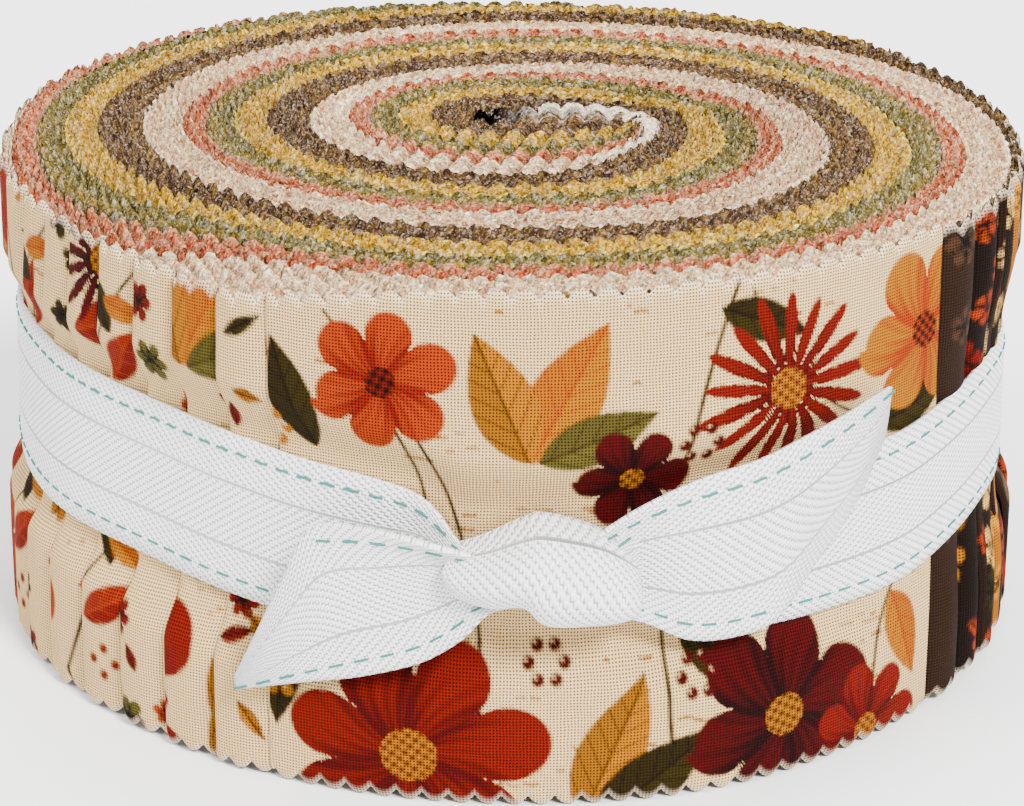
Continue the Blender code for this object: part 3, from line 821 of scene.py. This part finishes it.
def edge_rows(name, first, strips, palette, step, level, seed):
    """One colour band of the roll's end: a ridge for each strip's edge, wound from core to rim."""
    upward = level > 0.0
    random = np.random.default_rng(seed)
    angles = [WOUND_FROM]
    while angles[-1] < WOUND_TO:
        middle = float(layer_radius(np.array(angles[-1]), (first + strips / 2) / STRIPS))
        angles.append(angles[-1] + math.degrees(step / max(middle, 9.0)))
    angle = np.array(angles)
    # two rows to a strip, a groove and its crest; the last row tucks in under the next band
    row = np.arange(2 * strips + 2)
    strip_of = np.minimum(row // 2, strips - 1)
    shares, crest = (first + row / 2.0) / STRIPS, np.where(row % 2, 1.0, 0.0)
    shares[-1], crest[-1] = (first + strips + 0.7) / STRIPS, -2.2

    grid_angle, grid_share = np.meshgrid(angle, shares)
    # the layers wander a little between the stack's two faces, and neighbouring bands alike
    wander = np.sin(grid_angle / 6.3 + 25.0 * grid_share) + np.sin(grid_angle / 11.0 + 40.0 * grid_share)
    wander = 0.3 * wander * np.sin(math.pi * np.minimum(grid_share, 1.0))
    radius = layer_radius(grid_angle, grid_share + wander / STRIPS)
    rim = rim_distance(grid_angle)
    past = radius > rim
    radius = np.minimum(radius, rim)
    turned = np.radians(grid_angle)
    x = EYE[0] - radius * np.sin(turned)
    y = EYE[1] - radius * np.cos(turned)
    run = np.hypot(np.diff(x, axis=1), np.diff(y, axis=1))
    along = np.concatenate([np.zeros((len(shares), 1)), np.cumsum(run, axis=1)], axis=1)
    along = along - along[:, np.searchsorted(angle, 0.0)][:, None] + RUN_START - TEETH_DRIFT * grid_share
    slip = random.uniform(-0.16, 0.16, strips)[strip_of][:, None]
    lifts = random.uniform(-0.3, 0.25, strips)[strip_of][:, None]
    sway = 0.25 * np.sin(along / 23.0 + 5.0 * strip_of[:, None])
    depth = 1.1 * tooth(along + slip) + 0.55 * (1.0 - crest[:, None]) + 0.2
    depth = depth - lifts * crest[:, None] - sway * 0.5
    depth = depth + random.uniform(-0.2, 0.2, depth.shape)
    depth = np.where(past, PAST_DEPTH, np.maximum(depth, 0.05))
    from_rim = unit(1.0 - (rim - radius) / 8.0)
    wall_angle = np.degrees(np.arctan2(-x, -y))
    depth = depth + (shoulder(wall_angle) * from_rim ** 2 if upward else 0.0)
    height = level - depth if upward else level + depth
    stray = random.uniform(-0.13, 0.13, (2,) + x.shape) * ~past
    points = np.stack([x + stray[0], y + stray[1], height], axis=-1) * MM

    # each strip keeps to its own colour here and there, and single threads show all the others
    palette = np.array([linear(c) for c in palette])
    pick = partial(random.choice, len(palette), p=COLOUR_SHARES)
    base = pick(strips)[strip_of]
    patch = np.floor(along / 0.5 + random.uniform(0, 40, len(shares))[:, None]).astype(int)
    lookup = pick((len(shares), patch.max() + 2))
    spot = np.take_along_axis(lookup, np.maximum(patch, 0), axis=1)
    thread = pick(depth.shape)
    colours = palette[base][:, None, :] * 0.3 + palette[spot] * 0.3 + palette[thread] * 0.4
    # painted shade: the notches between the teeth and the grooves between the strips are darkened, the tooth
    # tips and crests painted lighter; points tucked past the rim keep most of their colour
    tip = unit(1.0 - tooth(along + slip) / TOOTH_DEPTH)[..., None]
    shade = 0.26 + 0.82 * tip + 0.36 * np.maximum(crest, 0.0)[:, None, None]
    colours = colours * np.where(past[..., None], 0.9, shade)
    colours = colours * random.uniform(0.55, 1.4, depth.shape)[..., None]
    colours = np.clip(colours, 0.0, 0.94)

    keep = ~(past[:-1, :-1] & past[1:, :-1] & past[:-1, 1:] & past[1:, 1:])
    uv = np.stack([along, grid_share * STACK_THICKNESS], axis=-1)
    if not upward:
        points, uv, colours, keep = points[::-1], uv[::-1], colours[::-1], keep[::-1]
    return cloth_mesh(name, points, uv, colours, keep)


def frayed_edge_material():
    """Cut cotton edges: matte and fuzzy, broken up by single fibres."""
    material, shader, uv, _along, _across = new_cloth_material("frayed_edges", 0.96, 0.0)
    print_colour = uv.node("ShaderNodeVertexColor", {"layer_name": "print"})
    where = uv.node("ShaderNodeTexCoord", {}, output="Object")
    fibre = where.noise(3400.0, 3.0, Roughness=0.7).step(0.34, 0.66)
    tuft = where.noise(1500.0, 2.0).step(0.34, 0.66)
    stray = where.noise(3000.0, 3.0).step(0.56, 0.66)
    lightness = fibre * 1.0 + tuft * 0.5 + 0.25
    light = print_colour.node("ShaderNodeHueSaturation", {}, Value=lightness, Color=print_colour)
    dress(shader, light.tinted(stray * 0.4, (0.66, 0.57, 0.46)), fibre * 0.6 + tuft * 0.8, 0.8, 0.0004)
    return material


frayed_edges = frayed_edge_material()
for number, (name, first, strips, palette) in enumerate(COLOUR_BANDS):
    for label, step, level, seed in [("edges", 0.36, STRIP_WIDTH, 200), ("foot_edges", 1.3, 0.0, 300)]:
        rows = edge_rows(f"{name}_{label}", first, strips, palette, step, level, seed + number)
        belongs_to_roll(rows, frayed_edges)


# At the very middle the inmost layers lie nearly straight beside the eye, a dark slit at their left
# end, and the pale end of one strip has worked loose and curls round them on the right.

core_random = np.random.default_rng(77)
CORE_COLOURS = [(196, 178, 150), (236, 230, 222), (206, 156, 56), (128, 100, 76), (150, 142, 96)]
# the main colour of each row of points across the core
CORE_ROWS = [3, 2, 2, 2, 3, 4, 1, 2, 2, 4, 1, 0, 1, 3, 1, 0, 3]


def core_mesh():
    """The straight layers beside the eye, which is a slit between them at their left end."""
    x, v = np.meshgrid(np.linspace(-5.6, 15.6, 54), np.linspace(0.0, 1.0, len(CORE_ROWS)))
    taper = 3.6 * (1.0 - unit(np.abs(x - 5.0) / 10.7) ** 3.5)
    y = EYE[1] + (2.0 * v - 1.0) * taper
    slit = unit(1.25 - np.hypot((x + 2.2) / 4.2, (y - 6.6) / 2.1))
    crest = np.abs(np.sin(v * math.pi * 6.0)) ** 0.7
    along = RUN_START - (x - EYE[0])
    depth = tooth(along) + 0.5 * (1.0 - crest) + 0.3 + 9.0 * eased(slit * 1.4)
    depth = depth + core_random.uniform(-0.2, 0.2, x.shape)
    palette = np.array([linear(c) for c in CORE_COLOURS])
    threads = palette[core_random.integers(0, len(palette), x.shape)]
    colours = palette[CORE_ROWS][:, None, :] * 0.6 + threads * 0.4
    left_dark = eased((4.0 - x) / 6.0)[..., None]
    colours = colours * (1.0 - left_dark) + linear((104, 78, 56)) * left_dark
    # painted shade: the grooves between the layers are darkened
    colours = colours * (0.5 + 0.5 * crest[..., None])
    colours = colours * core_random.uniform(0.7, 1.2, x.shape)[..., None]
    # painted shadow: the slit is painted nearly black
    colours = np.clip(colours * (1.0 - 0.97 * eased(slit * 2.2)[..., None]), 0.0, 0.9)
    points = np.stack([x, y, STRIP_WIDTH - depth], axis=-1) * MM
    return cloth_mesh("core_layers", points, np.stack([along, v * 7.0], axis=-1), colours)


# (across, back) along the loose end, from the back of the core round its right end to the front.
LOOSE_END = [(3.5, 9.8), (8.0, 9.9), (12.5, 8.6), (16.2, 5.2)]
LOOSE_END += [(18.0, 0.6), (17.2, -4.6), (14.4, -9.6), (10.0, -14.4)]


def loose_mesh(columns, across):
    """The loose end's cut edge, seen from above, broadest behind the core."""
    _shares, (x, y) = stations(LOOSE_END, columns)
    heading = np.arctan2(np.gradient(y), np.gradient(x))
    run = np.concatenate([[0.0], np.cumsum(np.hypot(np.diff(x), np.diff(y)))])
    v = np.linspace(-1.0, 1.0, across)[:, None]
    half = 0.8 + 2.2 * np.exp(-(((run - 15.0) / 5.5) ** 2))
    depth = 1.6 * np.abs(v) ** 2.5 + 0.6 * tooth(run)
    depth = depth + core_random.uniform(-0.22, 0.22, depth.shape)
    x, y = x - np.sin(heading) * half * v, y + np.cos(heading) * half * v
    points = np.stack([x, y, STRIP_WIDTH - depth], axis=-1) * MM
    colours = linear((246, 236, 220)) * core_random.uniform(0.75, 1.1, (*depth.shape, 1))
    uv = np.stack([run + 0 * v, v * 1.2 + 0 * run], axis=-1)
    return cloth_mesh("loose_end", points, uv, np.clip(colours, 0.0, 0.9))


belongs_to_roll(core_mesh(), frayed_edges)
belongs_to_roll(loose_mesh(110, 9), frayed_edges)


# The roll's waist is held by one length of white cotton tape, herringbone twill 19 mm wide with a
# teal running stitch along each edge. It lies flat round the roll and gathers into the knot.

TAPE_WIDTH = 19.0
TAPE_THICKNESS = 0.7
# from rib to rib, and from thread to thread
RIB_PITCH, YARN_PITCH = 0.78, 0.39


def tape_material():
    """White herringbone twill: three columns of slanting ribs that turn at each border."""
    material, shader, uv, along, across = new_cloth_material("white_tape", 0.82, 0.05)
    middle = (across / TAPE_WIDTH).step(0.29, 0.31) - (across / TAPE_WIDTH).step(0.69, 0.71)
    slant = middle * 2.0 - 1.0
    rib_phase = (along * 0.574 + across * slant * 0.819) * (2.0 * math.pi / RIB_PITCH)
    rib = rib_phase.sin() * 0.5 + 0.5
    warp, weft = (along * (math.pi / YARN_PITCH)).sin(), (across * (math.pi / YARN_PITCH)).sin()
    height = rib * 0.7 + warp.size() * weft.size() * 0.6
    # painted shade: the ramp paints the low grooves between ribs and threads grey and their crests white
    shade = height.step(0.05, 0.95)
    stops = [(0.0, (0.34, 0.34, 0.35)), (0.3, (0.82, 0.82, 0.82)), (0.58, (0.99, 0.99, 0.99))]
    dress(shader, shade.node("ShaderNodeValToRGB", {"stops": stops}, shade), height, 0.9, 0.00028)
    return material


white_tape = tape_material()
# how far the stitches lie in from the tape's edges
SEAM = 2.0
stitch_lines = []


def note_stitches(points, lower_until, upper_until):
    """Keeps two lines just above the tape's outer face, one along each edge."""
    rows, columns = points.shape[0] - 1, points.shape[1]
    normal = np.cross(np.gradient(points, axis=1), np.gradient(points, axis=0))
    normal /= np.maximum(np.linalg.norm(normal, axis=-1, keepdims=True), 1e-12)
    outward = points * np.array([1.0, 1.0, 0.0])
    normal *= np.sign((normal * outward).sum(axis=-1).mean())
    for share, until in ((SEAM / TAPE_WIDTH, lower_until), (1.0 - SEAM / TAPE_WIDTH, upper_until)):
        row = int(share * rows)
        part = share * rows - row
        line = points[row] * (1.0 - part) + points[row + 1] * part + normal[row] * 0.4 * MM
        stitch_lines.append(line[: int(columns * until)])


def tape_piece(name, points, part=(0.0, TAPE_WIDTH)):
    """A stretch of the tape from a grid of points: rows across its width, columns along it."""
    rows, columns = points.shape[:2]
    steps = np.linalg.norm(np.diff(points[rows // 2], axis=0), axis=1)
    run = np.concatenate([[0.0], np.cumsum(steps)]) / MM
    across = np.linspace(*part, rows)[:, None] * np.ones((1, columns))
    uv = np.stack([np.ones((rows, 1)) * run[None, :], across], axis=-1)
    piece = cloth_mesh(name, points, uv)
    piece.data.materials.append(white_tape)
    thickness = piece.modifiers.new("thickness", "SOLIDIFY")
    thickness.thickness = TAPE_THICKNESS * MM
    thickness.offset = 0.0
    apply_modifiers(piece)
    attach(piece, "root")
    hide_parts("tie_tape")


BAND_START, BAND_END = 3.0, 351.5


def band_surface(angle, share):
    """The band round the waist. Near the knot it narrows and comes forward off the wall."""
    low, high = tape_edge(TAPE_LOW, angle), tape_edge(TAPE_HIGH, angle)
    from_end = np.minimum(angle - BAND_START, BAND_END - angle)
    low = low + 5.4 * eased(1.0 - from_end / 10.0)
    high = high - 3.0 * eased(1.0 - from_end / 5.0)
    height = low + (high - low) * share
    foot, head, middle = (wall_radius(angle, z) for z in (low, high, (low + high) / 2))
    off = foot + (head - foot) * share + np.maximum(middle - (foot + head) / 2, 0.0)
    lift = 4.2 * eased(1.0 - from_end / 9.0)
    roll_in = 0.25 * (2.0 * share - 1.0) ** 4
    return place(angle, off + 0.85 + lift - roll_in, height)


band_angles, band_shares = np.linspace(BAND_START, BAND_END, 260), np.linspace(0.0, 1.0, 13)
band_points = band_surface(*np.meshgrid(band_angles, band_shares))
tape_piece("tape_band", band_points)


# The two free ends of the tape leave the knot to either side, each cut across on a slant. The left
# one is folded up along its lower edge where it leaves the knot.

# (angle of upper edge, its height, angle of lower edge, its height, radius, hollow)
LEFT_TAIL = [
    (2.0, 33.0, 0.5, 27.0, 70.0, 0.5),
    (5.9, 34.2, 2.6, 26.0, 70.6, -1.6),
    (10.0, 35.2, 4.8, 22.8, 70.2, -1.8),
    (14.5, 35.5, 8.5, 19.4, 69.2, -0.8),
    (19.6, 34.6, 14.8, 16.6, 68.6, 0.3),
    (22.6, 27.6, 19.8, 15.2, 68.8, 0.5),
    (25.4, 20.3, 24.0, 13.9, 69.2, 0.3),
    (27.9, 14.0, 27.7, 12.6, 69.6, 0.0),
]
RIGHT_TAIL = [
    (-7.0, 33.9, -7.0, 25.6, 68.4, -1.0),
    (-12.3, 37.6, -12.7, 23.4, 68.0, -0.9),
    (-18.3, 40.2, -17.5, 20.4, 67.6, 0.3),
    (-24.7, 41.6, -22.5, 19.9, 67.7, 0.6),
    (-29.1, 43.2, -27.0, 21.2, 67.9, 0.6),
    (-33.9, 45.1, -31.0, 27.4, 68.4, 0.5),
    (-37.0, 46.6, -35.2, 33.6, 68.9, 0.3),
    (-39.2, 47.6, -38.5, 41.5, 69.4, 0.1),
]


def tail_surface(rows, columns, across):
    """A free end between its two edges, hollowed or filled out between them."""
    _shares, (upper_angle, upper, lower_angle, lower, radius, hollow) = stations(rows, columns)
    share = np.linspace(0.0, 1.0, across)[:, None]
    angle = lower_angle + (upper_angle - lower_angle) * share
    height = lower + (upper - lower) * share
    bulge = hollow * (1.0 - 4.0 * (share - 0.5) ** 2)
    return place(angle, radius + bulge, height)


left_points = tail_surface(LEFT_TAIL, 60, 21)
tape_piece("left_tail", left_points[:, ::-1])
right_points = tail_surface(RIGHT_TAIL, 70, 21)
tape_piece("right_tail", right_points)

note_stitches(band_points, 1.0, 1.0)
note_stitches(left_points, 0.97, 0.56)
note_stitches(right_points, 0.5, 0.98)


# The knot is the same tape passed round itself once and drawn tight, so that one broad turn of it
# covers the crossing like a small cushion, narrow on the left and open to the right.

# (angle, middle height, half height, radius of its front)
KNOT_TURN = [
    (6.2, 31.0, 1.6, 69.8),
    (5.0, 30.5, 2.3, 71.2),
    (2.0, 30.7, 3.4, 72.8),
    (-1.2, 31.7, 4.2, 74.0),
    (-3.2, 30.8, 5.6, 74.4),
    (-7.6, 29.9, 5.0, 74.0),
    (-10.2, 28.9, 3.9, 73.0),
    (-11.6, 28.1, 2.9, 71.2),
]
# radii from which the turn's front is measured, and set out
KNOT_BASE, KNOT_MIDDLE = 66.2, 66.8


def knot_surface(columns, around):
    """The broad turn, an arched cloth with its edges tucked in and pleats at its narrow left end."""
    from_neck, (angle, middle, half, front) = stations(KNOT_TURN, columns)
    turn = np.linspace(-1.0, 1.0, around)[:, None] * math.pi * 0.72
    rise, reach = np.sin(turn), np.cos(turn)
    height = middle + half * rise / np.maximum(np.abs(rise), 1e-6) * np.abs(rise) ** 0.8
    depth = (front - KNOT_BASE) * (np.sign(reach) * np.abs(reach) ** 0.75)
    pleat = 0.45 * np.sin(5.0 * turn + 3.0 * from_neck) * (1.0 - from_neck) ** 0.7 * reach
    return place(angle + 0.0 * height, KNOT_MIDDLE + np.maximum(depth + pleat, -1.6), height)


tape_piece("knot_turn", knot_surface(44, 41), part=(1.6, 17.4))


# A running stitch in teal thread follows both edges of the tape, 1.8 mm long every 3 mm.


def running_stitch():
    """The repeat as a node tree: a short thread on each point of a line, laid along it."""
    tree = bpy.data.node_groups.new("running_stitch", "GeometryNodeTree")
    kinds = {"Line": "Geometry", "Pitch": "Float", "Length": "Float", "Radius": "Float"}
    kinds.update({"Seed": "Int", "Thread": "Material"})
    sockets = {}
    for label, kind in kinds.items():
        socket = tree.interface.new_socket(label, in_out="INPUT", socket_type=f"NodeSocket{kind}")
        sockets[label] = socket.identifier
    tree.interface.new_socket("Stitches", in_out="OUTPUT", socket_type="NodeSocketGeometry")
    into, out = tree.nodes.new("NodeGroupInput"), tree.nodes.new("NodeGroupOutput")
    line, pitch, length, radius, seed, material = (Value(tree, into.outputs[label]) for label in kinds)
    curve = line.node("GeometryNodeMeshToCurve", {}, line)
    spaced = line.node("GeometryNodeResampleCurve", {"mode": "LENGTH"}, Curve=curve, Length=pitch)
    thread = line.node("GeometryNodeMeshCylinder", {}, Vertices=8, Radius=radius, Depth=length)
    tangent = line.node("GeometryNodeInputTangent", {})
    turned = line.node("FunctionNodeAlignRotationToVector", {"axis": "Z"}, Vector=tangent)
    spread = {"2": 0.88, "3": 1.08}
    varied = line.node("FunctionNodeRandomValue", {"data_type": "FLOAT"}, output=1, Seed=seed, **spread)
    stitch = {"Instance": thread, "Rotation": turned, "Scale": varied}
    laid = line.node("GeometryNodeInstanceOnPoints", {}, spaced, **stitch)
    real = line.node("GeometryNodeRealizeInstances", {}, laid)
    painted = line.node("GeometryNodeSetMaterial", {}, Geometry=real, Material=material)
    tree.links.new(painted.socket, out.inputs["Stitches"])
    return tree, sockets


teal_thread = plain_paint("teal_thread", (0.008, 0.15, 0.135), 0.7)
STITCH = {"Pitch": 0.003, "Length": 0.0018, "Radius": 0.00015, "Seed": 5, "Thread": teal_thread}

vertices, edges = [], []
for line in stitch_lines:
    edges += [(len(vertices) + i, len(vertices) + i + 1) for i in range(len(line) - 1)]
    vertices += [tuple(point) for point in line]
line_mesh = bpy.data.meshes.new("stitches")
line_mesh.from_pydata(vertices, edges, [])
stitches = bpy.data.objects.new("stitches", line_mesh)
into_scene(stitches)
stitch_tree, stitch_input = running_stitch()
sewing = stitches.modifiers.new("sewing", "NODES")
sewing.node_group = stitch_tree
for label, value in STITCH.items():
    sewing[stitch_input[label]] = value
apply_modifiers(stitches)
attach(stitches, "root")
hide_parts("tie_tape")
